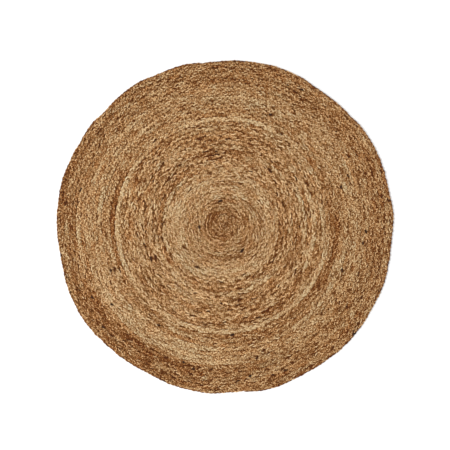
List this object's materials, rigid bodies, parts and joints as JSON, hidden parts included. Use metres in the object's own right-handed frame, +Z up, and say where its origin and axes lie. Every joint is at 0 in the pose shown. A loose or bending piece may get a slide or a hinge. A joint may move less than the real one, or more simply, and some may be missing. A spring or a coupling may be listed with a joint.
{
  "type": "round jute rug",
  "caption": "Flat round floor rug of braided jute, coiled edge to edge from the middle outwards, with an uneven hand-sewn rim.",
  "frame": {"origin": "middle of the rug's outline, on the flat underside that lies on the floor", "axes": "+Z up out of the rug's top; +X to the right and +Y to the top of the picture, which looks straight down"},
  "size_m": [1.2044, 1.1902, 0.0094],
  "materials": {
    "jute": "natural undyed jute braid, warm tan mixed with cream and reddish brown strands, dry and dull"
  },
  "bodies": {
    "root": {"coiled_braid": "jute"}
  },
  "joints": []
}
